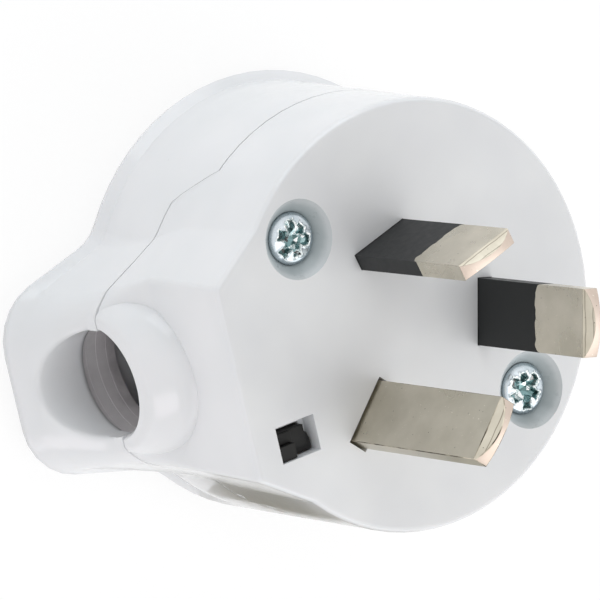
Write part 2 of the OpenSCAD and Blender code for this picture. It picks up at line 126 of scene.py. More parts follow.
def object_place(tree, scale=(1, 1, 1)):
    """Object coordinates in millimetres, stretched for a pattern."""
    coordinates = add(tree, "ShaderNodeTexCoord")
    return add(
        tree, "ShaderNodeMapping",
        Vector=coordinates.outputs["Object"], Scale=[1000 * share for share in scale],
    ).outputs["Vector"]


def abs_gloss(name, ease):
    """Injection-moulded ABS off a polished mould: a deep soft gloss whose reflections waver a
    little over the thick and thin walls, with a few specks of dust under the surface. Its edges
    look eased over a radius in mm, where the mould was rubbed round by hand, or not at 0."""
    material, tree = new_material(name)
    place = object_place(tree)
    # Sink and flow, 9 mm across
    sink = add(tree, "ShaderNodeTexNoise", Vector=place, Scale=0.11, Detail=2.0, Roughness=0.4)
    # Orange peel of the mould polish, 0.8 mm, coarser than the real 0.3 mm so that it shows
    peel = add(tree, "ShaderNodeTexNoise", Vector=place, Scale=1.2, Detail=2.0, Roughness=0.5)
    specks = add(tree, "ShaderNodeTexVoronoi", {"feature": "F1"}, Vector=place, Scale=0.28)
    tone = add(
        tree, "ShaderNodeValToRGB", Fac=sink.outputs["Fac"],
        stops=((0.35, "#E9EBED"), (0.65, "#EEEFF1")),
    )
    dust = add(
        tree, "ShaderNodeValToRGB", Fac=specks.outputs["Distance"], stops=((0.0, 1.0), (0.035, 0.0)),
    )
    colour = add(
        tree, "ShaderNodeMix", {"data_type": "RGBA"}, in0=dust, in6=tone, in7=paint("#C9CACA"),
    )
    gloss = add(
        tree, "ShaderNodeValToRGB", Fac=peel.outputs["Fac"], stops=((0.3, 0.12), (0.7, 0.2)),
    )
    swell = add(tree, "ShaderNodeBump", Strength=0.35, Distance=mm(0.12), Height=sink.outputs["Fac"])
    if ease:
        eased = add(tree, "ShaderNodeBevel", {"samples": 8}, Radius=mm(ease))
        tree.links.new(eased.outputs["Normal"], swell.inputs["Normal"])
    bump = add(
        tree, "ShaderNodeBump", Strength=0.12, Distance=mm(0.01),
        Height=peel.outputs["Fac"], Normal=swell.outputs["Normal"],
    )
    finish_material(
        tree, Base_Color=colour.outputs[2], Roughness=gloss, IOR=1.54, Normal=bump,
        Subsurface_Weight=0.15, Subsurface_Radius=(mm(1.2), mm(1.1), mm(1.0)), Subsurface_Scale=1.0,
    )
    return material


def abs_satin():
    """The same ABS off a spark-eroded part of the mould: a fine even grain that spreads the
    highlights to a sheen. Its colour is painted a shade greyer than the polished ABS, as painted shade on
    the face."""
    material, tree = new_material("abs_eroded_satin_painted_shade")
    place = object_place(tree)
    # Erosion grain, drawn 0.25 mm across where the real grain is under 0.1 mm
    grain = add(tree, "ShaderNodeTexNoise", Vector=place, Scale=4.0, Detail=3.0, Roughness=0.6)
    cloud = add(tree, "ShaderNodeTexNoise", Vector=place, Scale=0.12, Detail=2.0)
    # Painted shade: a tone a shade greyer than the polished ABS's
    tone = add(
        tree, "ShaderNodeValToRGB", Fac=cloud.outputs["Fac"],
        stops=((0.35, "#DFE0E2"), (0.65, "#E5E6E7")),
    )
    gloss = add(
        tree, "ShaderNodeValToRGB", Fac=grain.outputs["Fac"], stops=((0.3, 0.38), (0.7, 0.5)),
    )
    bump = add(tree, "ShaderNodeBump", Strength=0.25, Distance=mm(0.02), Height=grain.outputs["Fac"])
    finish_material(
        tree, Base_Color=tone, Roughness=gloss, IOR=1.54, Normal=bump,
        Subsurface_Weight=0.12, Subsurface_Radius=(mm(1.2), mm(1.1), mm(1.0)), Subsurface_Scale=1.0,
    )
    return material


def abs_inside():
    """The inside of the cord's way: the same ABS off an unpolished core, dull, with painted shade
    that makes it darker with depth, broken up by smudges."""
    material, tree = new_material("abs_unpolished_core_painted_shade")
    # Depth along the cord, 0 at the mouth and 1 when this far inside
    reach = mm(9)
    coordinates = add(tree, "ShaderNodeTexCoord")
    depth = add(
        tree, "ShaderNodeMapping", Vector=coordinates.outputs["Object"],
        Location=(MOUTH_U / reach, 0, 0), Rotation=(0, 0, math.radians(-45)), Scale=[1 / reach] * 3,
    )
    along = add(tree, "ShaderNodeSeparateXYZ", Vector=depth)
    smudge = add(tree, "ShaderNodeTexNoise", Vector=object_place(tree), Scale=0.45, Detail=3.0)
    smudge_and_depth_shade = add(
        tree, "ShaderNodeMath", {"operation": "MULTIPLY_ADD"},
        in0=smudge.outputs["Fac"], in1=0.5, in2=along.outputs["X"],
    )
    # Painted shade: darker the deeper inside the cord's way, broken up by the smudge noise
    tone = add(
        tree, "ShaderNodeValToRGB", Fac=smudge_and_depth_shade,
        stops=((0.25, "#F6F4F5"), (0.6, "#E3DFE1"), (0.95, "#8F8A8D")),
    )
    bump = add(tree, "ShaderNodeBump", Strength=0.3, Distance=mm(0.03), Height=smudge.outputs["Fac"])
    finish_material(tree, Base_Color=tone, Roughness=0.55, IOR=1.54, Normal=bump)
    return material


def nickel_plate(name, light, dark, rough, folds=0.0):
    """Nickel plating over rolled brass strip: a warm grey satin mirror with fine lines along
    the strip, cloudy patches, pits and small bright nicks. Where it was cut or filed, thin brown
    folds of metal wander over it, as strong as folds says."""
    material, tree = new_material(name)
    # Rolling lines 0.12 mm apart that run along the pin for about 12 mm
    strip = object_place(tree, (8, 8, 0.08))
    lines = add(tree, "ShaderNodeTexNoise", Vector=strip, Scale=1.0, Detail=3.0)
    place = object_place(tree)
    cloud = add(tree, "ShaderNodeTexNoise", Vector=place, Scale=0.35, Detail=3.0)
    pits = add(tree, "ShaderNodeTexVoronoi", {"feature": "F1"}, Vector=place, Scale=1.3)
    nicks = add(tree, "ShaderNodeTexNoise", Vector=place, Scale=3.8, Detail=2.0)
    tone = add(
        tree, "ShaderNodeValToRGB", Fac=cloud.outputs["Fac"], stops=((0.3, dark), (0.7, light)),
    )
    pit = add(
        tree, "ShaderNodeValToRGB", Fac=pits.outputs["Distance"], stops=((0.03, 1.0), (0.09, 0.0)),
    )
    pitted = add(
        tree, "ShaderNodeMix", {"data_type": "RGBA"}, in0=pit, in6=tone, in7=paint("#6E6A60"),
    )
    nick = add(
        tree, "ShaderNodeValToRGB", Fac=nicks.outputs["Fac"], stops=((0.7, 0.0), (0.74, 0.8)),
    )
    nicked = add(
        tree, "ShaderNodeMix", {"data_type": "RGBA"},
        in0=nick, in6=pitted.outputs[2], in7=paint("#EFE9DC"),
    )
    # Folds run across the blade, wavy and 0.8 mm apart
    wander = add(
        tree, "ShaderNodeTexWave", {"wave_type": "BANDS", "bands_direction": "Z"},
        Vector=place, Scale=0.39, Distortion=2.6, Detail=2.0, Detail_Scale=0.7,
    )
    fold = add(
        tree, "ShaderNodeValToRGB", Fac=wander.outputs["Fac"], stops=((0.0, folds), (0.05, 0.0)),
    )
    folded = add(
        tree, "ShaderNodeMix", {"data_type": "RGBA"},
        in0=fold, in6=nicked.outputs[2], in7=paint("#6E604F"),
    )
    gloss = add(
        tree, "ShaderNodeValToRGB", Fac=cloud.outputs["Fac"], stops=((0.3, rough), (0.7, rough + 0.1)),
    )
    bump = add(tree, "ShaderNodeBump", Strength=0.2, Distance=mm(0.01), Height=lines.outputs["Fac"])
    finish_material(tree, Base_Color=folded.outputs[2], Metallic=1.0, Roughness=gloss, Normal=bump)
    return material


def nickel_edge():
    """The corners of the blades, where the plating is thin: grime and bare bright metal by turns."""
    material, tree = new_material("nickel_worn_edge")
    wear = add(tree, "ShaderNodeTexNoise", Vector=object_place(tree), Scale=0.5, Detail=3.0)
    tone = add(
        tree, "ShaderNodeValToRGB", Fac=wear.outputs["Fac"],
        stops=((0.4, "#5A554A"), (0.5, "#A79F8E"), (0.62, "#DDD4C2")),
    )
    finish_material(tree, Base_Color=tone, Metallic=1.0, Roughness=0.4)
    return material


def nylon_sleeve():
    """Black nylon moulded round the pin: a smooth low sheen with a few faint scuffs."""
    material, tree = new_material("nylon_moulded_black")
    place = object_place(tree)
    ripple = add(tree, "ShaderNodeTexNoise", Vector=place, Scale=0.4, Detail=2.0)
    scuffs = add(tree, "ShaderNodeTexNoise", Vector=place, Scale=1.4, Detail=5.0, Roughness=0.6)
    tone = add(
        tree, "ShaderNodeValToRGB", Fac=scuffs.outputs["Fac"],
        stops=((0.4, "#17191A"), (0.7, "#1E2021")),
    )
    gloss = add(
        tree, "ShaderNodeValToRGB", Fac=scuffs.outputs["Fac"], stops=((0.35, 0.38), (0.7, 0.5)),
    )
    bump = add(tree, "ShaderNodeBump", Strength=0.15, Distance=mm(0.03), Height=ripple.outputs["Fac"])
    finish_material(
        tree, Base_Color=tone, Roughness=gloss, IOR=1.53, Specular_IOR_Level=0.3, Normal=bump,
    )
    return material


def zinc_plate():
    """Blue-passivated zinc on steel: cool and pale, with soft cloudy patches under a bright
    skin."""
    material, tree = new_material("zinc_plated_steel")
    place = object_place(tree)
    cloud = add(tree, "ShaderNodeTexNoise", Vector=place, Scale=0.5, Detail=3.0)
    marks = add(tree, "ShaderNodeTexNoise", Vector=place, Scale=3.0, Detail=3.0, Roughness=0.6)
    tone = add(
        tree, "ShaderNodeValToRGB", Fac=cloud.outputs["Fac"],
        stops=((0.3, "#BECAD1"), (0.55, "#D3DBE1"), (0.75, "#BAC9CF")),
    )
    gloss = add(
        tree, "ShaderNodeValToRGB", Fac=marks.outputs["Fac"], stops=((0.3, 0.24), (0.7, 0.34)),
    )
    bump = add(tree, "ShaderNodeBump", Strength=0.15, Distance=mm(0.02), Height=marks.outputs["Fac"])
    finish_material(tree, Base_Color=tone, Metallic=1.0, Roughness=gloss, Normal=bump)
    return material


def zinc_recess():
    """The recess of a screw head after driving: torn facets, teal-black in the corners and
    white where the driver slid over them."""
    material, tree = new_material("zinc_torn_recess")
    place = object_place(tree)
    facets = add(tree, "ShaderNodeTexVoronoi", {"feature": "F1"}, Vector=place, Scale=2.4)
    patch = add(tree, "ShaderNodeSeparateColor", Color=facets.outputs["Color"])
    tone = add(
        tree, "ShaderNodeValToRGB", Fac=patch.outputs["Red"],
        stops=(
            (0.0, "#58716F"), (0.3, "#7F9FA1"), (0.5, "#A9C0C2"), (0.66, "#66605F"), (0.8, "#F4F7F7"),
        ),
    )
    scratch = add(tree, "ShaderNodeTexNoise", Vector=place, Scale=4.0, Detail=3.0)
    bump = add(tree, "ShaderNodeBump", Strength=0.5, Distance=mm(0.05), Height=scratch.outputs["Fac"])
    finish_material(tree, Base_Color=tone, Metallic=1.0, Roughness=0.22, Normal=bump)
    return material


def zinc_burr():
    """The raised edge of the torn recess, rubbed bright by the driver."""
    material, tree = new_material("zinc_rubbed_burr")
    rub = add(tree, "ShaderNodeTexNoise", Vector=object_place(tree), Scale=2.5, Detail=3.0)
    tone = add(
        tree, "ShaderNodeValToRGB", Fac=rub.outputs["Fac"],
        stops=((0.35, "#A9BABD"), (0.5, "#F2F6F6")),
    )
    finish_material(tree, Base_Color=tone, Metallic=1.0, Roughness=0.3)
    return material


def abs_sinking_shaded():
    """The wall of a screw sinking: the white ABS with scuffs, greyed by painted shade that darkens it the
    deeper it goes.
    """
    material, tree = new_material("abs_sinking_painted_shade")
    place = object_place(tree)
    scuff = add(tree, "ShaderNodeTexNoise", Vector=place, Scale=0.9, Detail=4.0)
    height = add(tree, "ShaderNodeSeparateXYZ", Vector=place)
    # Painted shade: 0 at 1.6 mm below the face and 1 at the face, darker lower down, with the scuffs
    # breaking up the change
    rise = add(
        tree, "ShaderNodeMath", {"operation": "MULTIPLY_ADD"},
        in0=height.outputs["Z"], in1=0.62, in2=-0.62 * (FACE_Z * 1000 - 1.6),
    )
    broken = add(
        tree, "ShaderNodeMath", {"operation": "MULTIPLY_ADD"},
        in0=scuff.outputs["Fac"], in1=0.3, in2=rise,
    )
    tone = add(
        tree, "ShaderNodeValToRGB", Fac=broken,
        stops=((0.2, "#949EA0"), (0.75, "#AEB6B8"), (1.15, "#C6CBCD")),
    )
    gloss = add(
        tree, "ShaderNodeValToRGB", Fac=scuff.outputs["Fac"], stops=((0.3, 0.25), (0.7, 0.4)),
    )
    bump = add(tree, "ShaderNodeBump", Strength=0.15, Distance=mm(0.03), Height=scuff.outputs["Fac"])
    finish_material(tree, Base_Color=tone, Roughness=gloss, IOR=1.54, Normal=bump)
    return material


def turned_brass():
    """Brass turned and sawn from bar: yellow, with tool lines 0.15 mm apart."""
    material, tree = new_material("turned_brass")
    turned = object_place(tree, (0.6, 0.6, 7))
    lines = add(tree, "ShaderNodeTexNoise", Vector=turned, Scale=1.0, Detail=2.0)
    tone = add(
        tree, "ShaderNodeValToRGB", Fac=lines.outputs["Fac"],
        stops=((0.3, "#B8954E"), (0.7, "#D9BC78")),
    )
    bump = add(tree, "ShaderNodeBump", Strength=0.35, Distance=mm(0.02), Height=lines.outputs["Fac"])
    finish_material(tree, Base_Color=tone, Metallic=1.0, Roughness=0.28, Normal=bump)
    return material


def clamp_nylon():
    """Black nylon off a plain mould: a soft broad sheen and small flow marks."""
    material, tree = new_material("nylon_clamp_black")
    flow = add(tree, "ShaderNodeTexNoise", Vector=object_place(tree), Scale=0.8, Detail=4.0)
    tone = add(
        tree, "ShaderNodeValToRGB", Fac=flow.outputs["Fac"],
        stops=((0.35, "#0A0A0A"), (0.7, "#181817")),
    )
    bump = add(tree, "ShaderNodeBump", Strength=0.3, Distance=mm(0.03), Height=flow.outputs["Fac"])
    finish_material(
        tree, Base_Color=tone, Roughness=0.6, IOR=1.53, Specular_IOR_Level=0.3, Normal=bump,
    )
    return material


GLOSS = abs_gloss("abs_moulded_gloss", 0)
GLOSS_EASED = abs_gloss("abs_gloss_rubbed_round", 0.8)
SATIN = abs_satin()
INSIDE_SHADED = abs_inside()
NICKEL = nickel_plate("nickel_plated_brass", "#DED7C8", "#CFC9B9", 0.24)
NICKEL_DULL = nickel_plate("nickel_plated_dull", "#D3CDBE", "#C4BEAE", 0.27)
NICKEL_BEVEL = nickel_plate("nickel_filed_bevel", "#D9D3C4", "#C9C2B2", 0.46, 0.7)
NICKEL_END = nickel_plate("nickel_cut_end", "#DDCFC3", "#CCBCAF", 0.46)
NICKEL_EDGE = nickel_edge()
SLEEVE = nylon_sleeve()
ZINC = zinc_plate()
ZINC_RECESS = zinc_recess()
ZINC_BURR = zinc_burr()
SINKING_SHADE = abs_sinking_shaded()
BRASS = turned_brass()
CLAMP = clamp_nylon()


# Pieces

def new_object(name, data):
    """An object with this data, in the scene."""
    made = bpy.data.objects.new(name, data)
    bpy.context.scene.collection.objects.link(made)
    return made


def as_piece(shell, name):
    """A worked mesh as an object in the scene."""
    mesh = bpy.data.meshes.new(name)
    shell.to_mesh(mesh)
    shell.free()
    return new_object(name, mesh)


def merged_copy(node, name):
    """A CAD node's mesh with its loose triangles joined, so that it can be shaded smooth."""
    shell = bmesh.new()
    shell.from_mesh(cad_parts[node].data)
    bmesh.ops.remove_doubles(shell, verts=shell.verts, dist=mm(0.002))
    bmesh.ops.dissolve_limit(
        shell, angle_limit=math.radians(0.3), verts=shell.verts, edges=shell.edges,
    )
    return as_piece(shell, name)


def edit(piece, change):
    """Runs a change on a piece's mesh."""
    shell = bmesh.new()
    shell.from_mesh(piece.data)
    change(shell)
    shell.to_mesh(piece.data)
    shell.free()
    return piece


def slice_at(shell, faces, point, normal):
    """Cuts some faces along a plane, without taking anything away."""
    geometry = {item for face in faces for item in (face, *face.edges, *face.verts)}
    bmesh.ops.bisect_plane(shell, geom=list(geometry), dist=mm(0.001), plane_co=point, plane_no=normal)


def dress(piece, slot_name, *materials):
    """Gives a piece its materials and lets it ride on the plug. The slot name is not used."""
    for material in materials:
        piece.data.materials.append(material)
    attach(piece, "root")


def cord_place(point):
    """A point's distance along the cord's way, and from its axis."""
    along = point.x * CORD_WAY.x + point.y * CORD_WAY.y
    across = point.x * CORD_WAY.y - point.y * CORD_WAY.x
    return along, math.hypot(across, point.z - ENTRY_Z)


def in_way(point):
    """True on the ribbed wall of the cord's way, behind the mouth."""
    along, out = cord_place(point)
    return RIB_R - NEAR < out < WAY_R + NEAR and WAY_START < along < MOUTH_U - NEAR


def mark_edges(shell, crease):
    """Shades the mesh smooth and marks every edge sharper than crease degrees for the bevel. The
    worn ribs of the cord's way stay sharp instead."""
    weights = shell.edges.layers.float.new("bevel_weight_edge")
    for face in shell.faces:
        face.smooth = True
    for line in shell.edges:
        if len(line.link_faces) == 2 and line.calc_face_angle(0) > math.radians(crease):
            if all(in_way(vert.co) for vert in line.verts):
                line.smooth = False
            else:
                line[weights] = 1


def soften(piece, edge, crease=32):
    """Rounds every edge sharper than crease degrees to a small radius in mm."""
    edit(piece, lambda shell: mark_edges(shell, crease))
    bevel = piece.modifiers.new("edge_radius", "BEVEL")
    bevel.width = mm(edge)
    bevel.segments = 2
    bevel.limit_method = "WEIGHT"
    bevel.miter_outer = "MITER_ARC"
    normals = piece.modifiers.new("even_normals", "WEIGHTED_NORMAL")
    normals.keep_sharp = True
    normals.weight = 60


# The foot of a sinking's sloped wall, by the screw's head: its radius and depth below the face
DISH_R = mm(2.5)
DISH_DEPTH = mm(1.4)


def screw_x(node):
    """Where a cover screw's axis stands: both are on the x axis."""
    low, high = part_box(node)
    return (low.x + high.x) / 2


def on_sinking_wall(point, axis_x):
    """True on the upright wall of the sinking round the screw at axis_x."""
    out = math.hypot(point.x - axis_x, point.y)
    return abs(out - SINKING_R) < NEAR and point.z > FACE_Z - SINKING_DEPTH - NEAR


def dish_sinkings(shell):
    """Slopes the wall of both screw sinkings down to the screw's head, as it is moulded."""
    for axis_x in (screw_x(node) for node in COVER_SCREWS):
        walls = [
            face for face in shell.faces
            if abs(face.normal.z) < 0.3 and all(on_sinking_wall(vert.co, axis_x) for vert in face.verts)
        ]
        slice_at(shell, walls, Vector((0, 0, FACE_Z - DISH_DEPTH)), Vector((0, 0, 1)))
        for vert in shell.verts:
            if on_sinking_wall(vert.co, axis_x) and vert.co.z < FACE_Z - DISH_DEPTH / 2:
                vert.co.x = axis_x + (vert.co.x - axis_x) * DISH_R / SINKING_R
                vert.co.y *= DISH_R / SINKING_R


def wear_ribs(shell):
    """Leaves only a trace of the ribs round the cord's way."""
    for vert in shell.verts:
        along, out = cord_place(vert.co)
        if abs(out - RIB_R) < NEAR and WAY_START < along < MOUTH_U + NEAR:
            axis = CORD_WAY * along + Vector((0, 0, ENTRY_Z))
            vert.co = axis + (vert.co - axis) * WORN_RIB_R / out


# The collar: the lobe's end that it stands on, its length, and how far its lip is drawn out
LOBE_END = mm(21)
COLLAR_LENGTH = mm(2.6)
LIP_DRAW = mm(0.8)
# The draw is full within a radius and ends at a wider one, and starts at a height over a rise
FULL_DRAW_R = mm(6.4)
NO_DRAW_R = mm(8.4)
DRAW_Z = mm(8.6)
DRAW_RISE = mm(1)


def share(value, low, high):
    """How far value is from low to high, from 0 to 1."""
    return min(max((value - low) / (high - low), 0), 1)


def draw_out_collar(shell):
    """Draws the collar's lip out along the cord, with a hollow between the lip and the lobe."""
    for vert in shell.verts:
        along, out = cord_place(vert.co)
        behind_mouth = out < WAY_R + 2 * NEAR and along < MOUTH_U + NEAR
        if along < LOBE_END or behind_mouth:
            continue
        reach = share(along, LOBE_END, LOBE_END + COLLAR_LENGTH)
        near = share(out, NO_DRAW_R, FULL_DRAW_R)
        above = share(vert.co.z, DRAW_Z, DRAW_Z + DRAW_RISE)
        vert.co += CORD_WAY * LIP_DRAW * reach * near ** 2 * (3 - 2 * near) * above


# The outlines of the cover's flare that are sunk: their heights and by how much. The skin lies
# outside a radius, and the cord's way inside another
CREASES = ((mm(3.13), mm(0.42)), (mm(4.26), mm(0.16)))
SKIN_R = mm(19)
WAY_CLEAR_R = mm(6.4)


def crease_rim(shell):
    """Sinks the flare just above the rim, so that the rim stands out as a lip of its own."""
    for vert in shell.verts:
        flat = Vector((vert.co.x, vert.co.y, 0))
        out = cord_place(vert.co)[1]
        for level, depth in CREASES:
            if abs(vert.co.z - level) < NEAR and flat.length > SKIN_R and out > WAY_CLEAR_R:
                vert.co -= flat.normalized() * depth


def mark_inside(piece, index):
    """Gives the faces of the cord's way, mouth and all, the piece's material of this number."""
    for face in piece.data.polygons:
        along, out = cord_place(face.center)
        if out < WAY_R + 4 * NEAR and WAY_START < along < MOUTH_U + NEAR:
            face.material_index = index


def front_shell():
    """The front housing: polished, but for the eroded face round the pins, painted a shade greyer,
    the sinkings, greyed by painted shade, and the rough inside of the cord's way, darkened with depth by
    painted shade."""
    housing = merged_copy("front_housing", "housing_shell")
    for change in (dish_sinkings, wear_ribs, draw_out_collar):
        edit(housing, change)
    soften(housing, 0.1)
    dress(housing, "housing", GLOSS, SATIN, INSIDE_SHADED, SINKING_SHADE)
    screws = [screw_x(node) for node in COVER_SCREWS]
    for face in housing.data.polygons:
        x, y = face.center.x, face.center.y
        if face.normal.z > 0.95 and face.center.z > FACE_Z - 2 * NEAR:
            face.material_index = 1
        elif any(math.hypot(x - axis_x, y) < SINKING_R + NEAR for axis_x in screws):
            face.material_index = 3
    mark_inside(housing, 2)
    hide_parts("front_housing")


# The nose's scoop: how far out along the cord it starts, and how far below the cord's axis
SCOOP_U = mm(23.7)
SCOOP_DROP = mm(0.6)


def rear_shell():
    """The rear cover: polished, with softer edges round the nose's scoop and a rough inside of the
    cord's way, darkened with depth by painted shade."""
    cover = merged_copy("rear_cover", "cover_shell")
    for change in (wear_ribs, draw_out_collar, crease_rim):
        edit(cover, change)
    soften(cover, 0.1)
    dress(cover, "housing", GLOSS, INSIDE_SHADED, GLOSS_EASED)
    for face in cover.data.polygons:
        along = cord_place(face.center)[0]
        if along > SCOOP_U and face.center.z < ENTRY_Z - SCOOP_DROP:
            face.material_index = 2
    mark_inside(cover, 1)
    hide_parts("rear_cover")


# The waver of a sleeve's end: each wave's height, its radians per mm and its phase. It is cut in
# as many steps to each side of the middle
WAVES = ((mm(0.07), 2.9, 0.6), (mm(0.045), 6.7, 2.0))
WAVER_STEP = mm(0.4)
WAVER_STEPS = 7


def waver(shell, turn, centre):
    """Makes the line where a sleeve ends waver a little, alike on the pin and on its sleeve."""
    across = Vector((math.cos(turn), math.sin(turn), 0))
    middle = Vector((centre.x, centre.y, 0))
    for step in range(-WAVER_STEPS, WAVER_STEPS + 1):
        slice_at(shell, list(shell.faces), middle + across * WAVER_STEP * step, across)
    for vert in shell.verts:
        if BARE_Z - NEAR < vert.co.z < BARE_Z + BARE_RISE + NEAR:
            x = (vert.co - middle).dot(across) * 1000
            vert.co.z += sum(height * math.sin(pace * x + phase) for height, pace, phase in WAVES)


# The filed tip of a blade
TIP_LENGTH = mm(1.6)


def blade_pin(node, name, turn, sleeved):
    """One blade: plated flats, a filed bevel on each side of the tip and a cut end between."""
    pin = merged_copy(node, name)
    low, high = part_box(node)
    if sleeved:
        edit(pin, lambda shell: waver(shell, turn, (low + high) / 2))
    dress(pin, "pin", NICKEL if sleeved else NICKEL_DULL, NICKEL_BEVEL, NICKEL_END, NICKEL_EDGE)
    for face in pin.data.polygons:
        if face.center.z > high.z - TIP_LENGTH:
            if 0.2 < face.normal.z < 0.7:
                face.material_index = 1
            elif face.normal.z >= 0.7:
                face.material_index = 2
    soften(pin, 0.07, crease=14)
    pin.modifiers["edge_radius"].material = 3
    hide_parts(node)


def pin_sleeve(node, name, turn, pin_node):
    sleeve = merged_copy(node, name)
    low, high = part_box(pin_node)
    edit(sleeve, lambda shell: waver(shell, turn, (low + high) / 2))
    dress(sleeve, "sleeve", SLEEVE)
    soften(sleeve, 0.06)
    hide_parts(node)


def pins():
    blade_pin("active_pin", "active_blade", math.pi / 2 + BLADE_TURN, True)
    blade_pin("neutral_pin", "neutral_blade", math.pi / 2 - BLADE_TURN, True)
    blade_pin("earth_pin", "earth_blade", math.pi / 2, False)
    pin_sleeve("active_sleeve", "active_insulation", math.pi / 2 + BLADE_TURN, "active_pin")
    pin_sleeve("neutral_sleeve", "neutral_insulation", math.pi / 2 - BLADE_TURN, "neutral_pin")


# A driven screw's head and shank, in mm as they are worked out: radii, how far below the face the
# middle of the head is, and how finely the head is drawn, outwards and round
HEAD_R = 2.45
SHANK_R = 1.5
HEAD_DEPTH = 0.75
HEAD_RINGS = 44
HEAD_SPOKES = 168
# The head's dome falls to its edge, and faster from a share of its radius on
DOME_FALL = 0.3
EDGE_FALL = 0.25
EDGE_SHARE = 0.84
# The lobes of the torn recess: direction in degrees, length and half width in mm
RECESS_LOBES = (
    (8, 1.85, 0.5), (66, 1.6, 0.42), (121, 1.85, 0.46),
    (180, 1.7, 0.5), (243, 1.9, 0.44), (300, 1.65, 0.42),
)
# The recess: its depth in the middle, how much of it goes per mm outwards, and its wall's width
RECESS_DEPTH = 1.15
RECESS_RISE = 0.38
RECESS_WALL = 0.16
# The burrs: their height, their distance outside the recess and their half width
BURR_HEIGHT = 0.13
BURR_OUT = 0.1
BURR_HALF = 0.12
# What counts as inside the recess where there is none
FAR_OUTSIDE = -9.0


def recess_depth(x, y, turn):
    """How far a point of the head is inside the recess's outline, and how deep the recess is
    there, in mm."""
    inside, depth = FAR_OUTSIDE, 0.0
    for degrees, length, half in RECESS_LOBES:
        angle = math.radians(degrees) + turn
        along = x * math.cos(angle) + y * math.sin(angle)
        across = abs(y * math.cos(angle) - x * math.sin(angle))
        wander = 0.06 * math.sin(5 * along + degrees) + 0.04 * math.sin(9 * across + degrees)
        edge = min(half + wander - across, length + wander - along, along + 0.4)
        if edge > inside:
            inside = edge
            depth = RECESS_DEPTH - RECESS_RISE * max(along, 0)
    return inside, depth * share(inside, 0, RECESS_WALL)


def head_height(x, y, turn):
    """The head's surface against its middle, in mm: a low dome, its edge, the recess and burrs."""
    out = math.hypot(x, y) / HEAD_R
    fall = DOME_FALL * out ** 2 + EDGE_FALL * (max(out - EDGE_SHARE, 0) / (1 - EDGE_SHARE)) ** 2
    inside, depth = recess_depth(x, y, turn)
    ragged = 0.5 + 0.5 * math.sin(9 * x + 4 * y) * math.cos(11 * y - 3 * x)
    burr = BURR_HEIGHT * ragged * max(1 - abs(inside + BURR_OUT) / BURR_HALF, 0)
    return burr - fall - depth


def screw_profile(top, low_z):
    """The screw's rings, outwards over the head and down to the tip: each a radius in mm and a
    height. On the head the height is None, for the surface gives it."""
    seat = FACE_Z - SINKING_DEPTH
    head = [(HEAD_R * (i / HEAD_RINGS) ** 0.9, None) for i in range(1, HEAD_RINGS + 1)]
    return head + [
        (HEAD_R, top - mm(0.9)), (HEAD_R, seat + mm(0.05)), (HEAD_R - 0.05, seat),
        (SHANK_R, seat), (SHANK_R, low_z + mm(0.3)), (SHANK_R - 0.3, low_z),
    ]


def screw_mesh(axis, low_z, turn):
    """The screw's closed surface round its axis."""
    shell = bmesh.new()
    top = FACE_Z - mm(HEAD_DEPTH)
    rings = []
    for radius, given in screw_profile(top, low_z):
        ring = []
        for spoke in range(HEAD_SPOKES):
            angle = 2 * math.pi * spoke / HEAD_SPOKES
            x, y = radius * math.cos(angle), radius * math.sin(angle)
            height = given if given is not None else top + mm(head_height(x, y, turn))
            ring.append(shell.verts.new((axis.x + mm(x), axis.y + mm(y), height)))
        rings.append(ring)
    middle = shell.verts.new((axis.x, axis.y, top + mm(head_height(0, 0, turn))))
    end = shell.verts.new((axis.x, axis.y, low_z))
    for spoke in range(HEAD_SPOKES):
        after = (spoke + 1) % HEAD_SPOKES
        shell.faces.new((middle, rings[0][spoke], rings[0][after]))
        shell.faces.new((end, rings[-1][after], rings[-1][spoke]))
        for inner, outer in zip(rings, rings[1:]):
            shell.faces.new((inner[spoke], outer[spoke], outer[after], inner[after]))
    return shell


def cover_screw(node, name, turn):
    """A pan head whose recess the driver has torn, with raised burrs round it, on its shank."""
    low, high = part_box(node)
    axis = (low + high) / 2
    screw = as_piece(screw_mesh(axis, low.z, turn), name)
    dress(screw, "screw", ZINC, ZINC_RECESS, ZINC_BURR)
    for face in screw.data.polygons:
        x, y = (face.center.x - axis.x) * 1000, (face.center.y - axis.y) * 1000
        on_head = face.center.z > FACE_Z - SINKING_DEPTH + mm(0.2)
        inside = recess_depth(x, y, turn)[0] if on_head else FAR_OUTSIDE
        if inside > 0.03:
            face.material_index = 1
        elif inside > -0.13:
            face.material_index = 2
        face.use_smooth = inside < -0.13
    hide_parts(node)


# The blocks on the clamp's leg: their outlines along and across the cord, from the leg's
# middle, and how far their tops are below the face, all in mm. They stand on the leg's top
LEG_MIDDLE = (15.9, 6.8)
LEG_TOP_DEPTH = mm(1.95)
LEG_BLOCKS = (
    (((0.3, 0.25), (2.1, 0.25), (2.1, 1.68), (0.3, 1.68)), 0.3),
    (((0.15, -0.85), (2.1, -0.85), (2.1, 0.2), (0.15, 0.2)), 0.85),
    (
        ((0.2, -0.85), (0.2, 1.62), (-1.95, 1.62), (-1.95, 0.6), (-1.75, 0.0), (-1.25, -0.5), (-0.5, -0.8)),
        1.15,
    ),
)


def leg_point(u, v, z):
    """A point by its mm along and across the cord from the leg's middle, and its height."""
    across = Vector((-CORD_WAY.y, CORD_WAY.x, 0))
    return CORD_WAY * mm(LEG_MIDDLE[0] + u) + across * mm(LEG_MIDDLE[1] + v) + Vector((0, 0, z))


